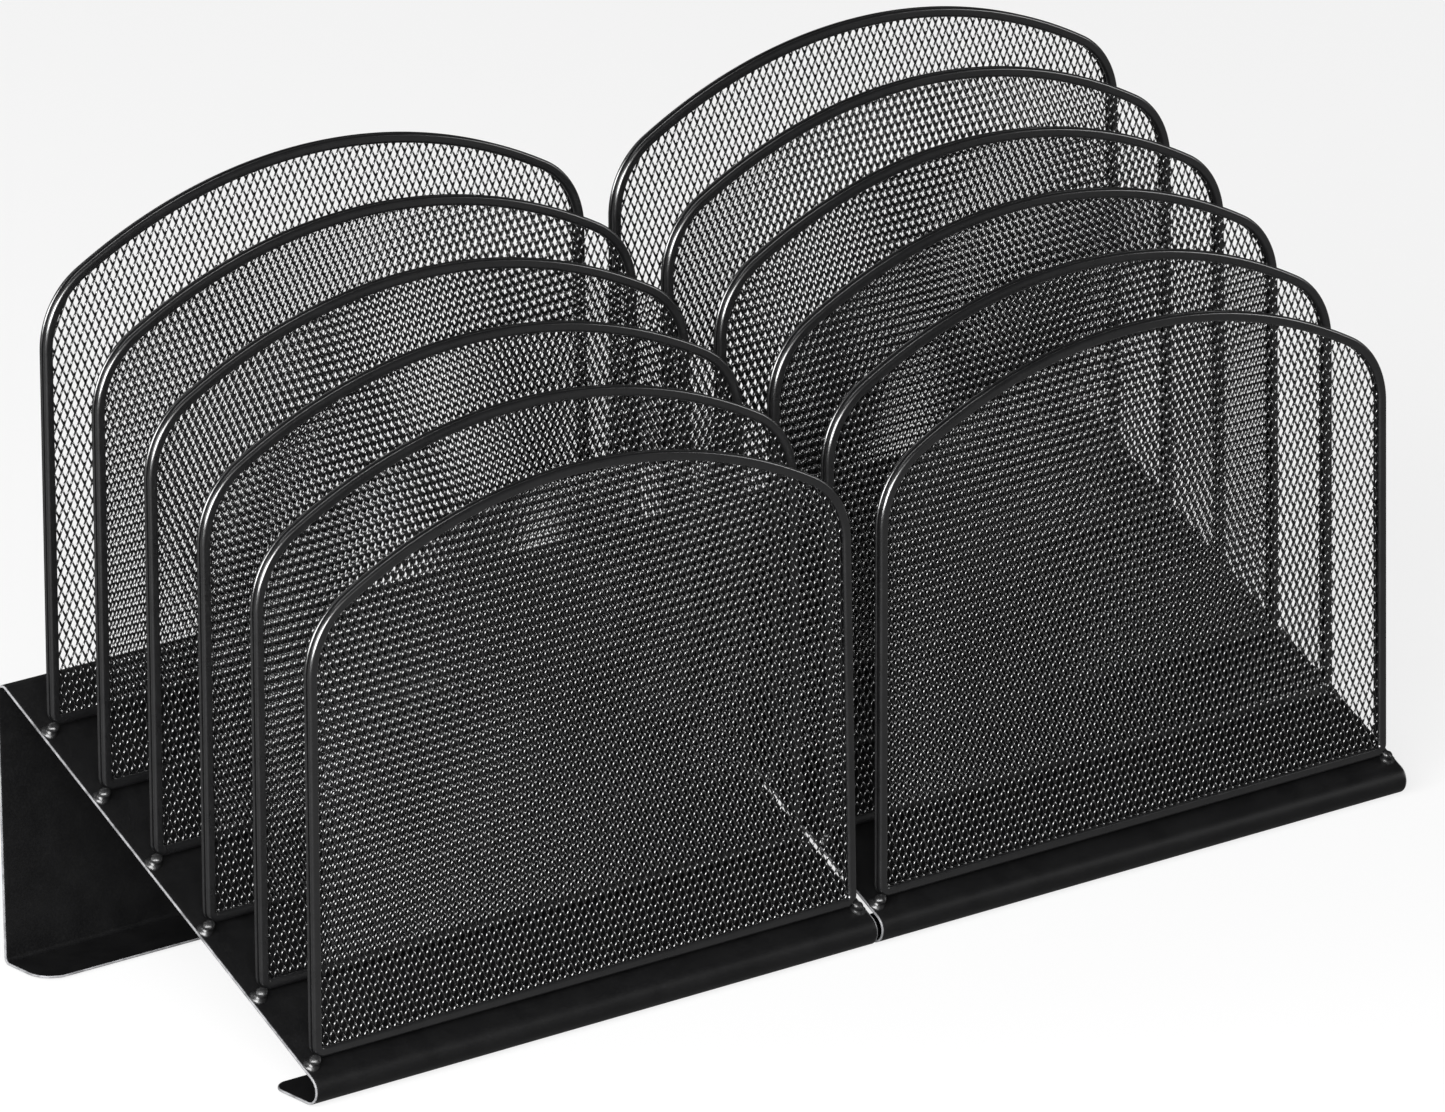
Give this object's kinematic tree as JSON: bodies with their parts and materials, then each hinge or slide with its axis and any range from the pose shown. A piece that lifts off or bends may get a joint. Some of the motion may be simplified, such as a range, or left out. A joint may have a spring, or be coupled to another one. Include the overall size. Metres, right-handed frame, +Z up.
{
  "type": "desktop file sorter",
  "caption": "Pair of matching black steel desktop file sorters: arched mesh dividers with rolled rims stand on a sloping bent-sheet base and form upright slots for folders.",
  "frame": {"origin": "bottom centre of the pair, on the desk", "axes": "+X along the pair from the left unit to the right unit, +Y towards the tall rear panels, +Z up"},
  "size_m": [0.6026, 0.225, 0.3467],
  "materials": {
    "sheet_coat": "semi-gloss black powder coat",
    "rim_coat": "semi-gloss black powder coat",
    "mesh_coat": "semi-gloss black powder coat over expanded steel",
    "pad_rubber": "matt"
  },
  "bodies": {
    "left_unit": {"left_base": "sheet_coat", "left_feet_1": "rim_coat", "left_feet_2": "rim_coat", "left_feet_3": "rim_coat", "left_feet_4": "rim_coat", "left_feet_5": "rim_coat", "left_feet_6": "rim_coat", "left_mesh_1": "mesh_coat", "left_mesh_2": "mesh_coat", "left_mesh_3": "mesh_coat", "left_mesh_4": "mesh_coat", "left_mesh_5": "mesh_coat", "left_mesh_6": "mesh_coat", "left_pads": "pad_rubber", "left_rim_1": "rim_coat", "left_rim_2": "rim_coat", "left_rim_3": "rim_coat", "left_rim_4": "rim_coat", "left_rim_5": "rim_coat", "left_rim_6": "rim_coat"},
    "right_unit": {"right_base": "sheet_coat", "right_feet_1": "rim_coat", "right_feet_2": "rim_coat", "right_feet_3": "rim_coat", "right_feet_4": "rim_coat", "right_feet_5": "rim_coat", "right_feet_6": "rim_coat", "right_mesh_1": "mesh_coat", "right_mesh_2": "mesh_coat", "right_mesh_3": "mesh_coat", "right_mesh_4": "mesh_coat", "right_mesh_5": "mesh_coat", "right_mesh_6": "mesh_coat", "right_pads": "pad_rubber", "right_rim_1": "rim_coat", "right_rim_2": "rim_coat", "right_rim_3": "rim_coat", "right_rim_4": "rim_coat", "right_rim_5": "rim_coat", "right_rim_6": "rim_coat"}
  },
  "joints": [
    {"name": "right_unit_slide", "type": "slide", "parent": "left_unit", "child": "right_unit", "axis": [1, 0, 0], "range_m": [0, 0.3]}
  ]
}
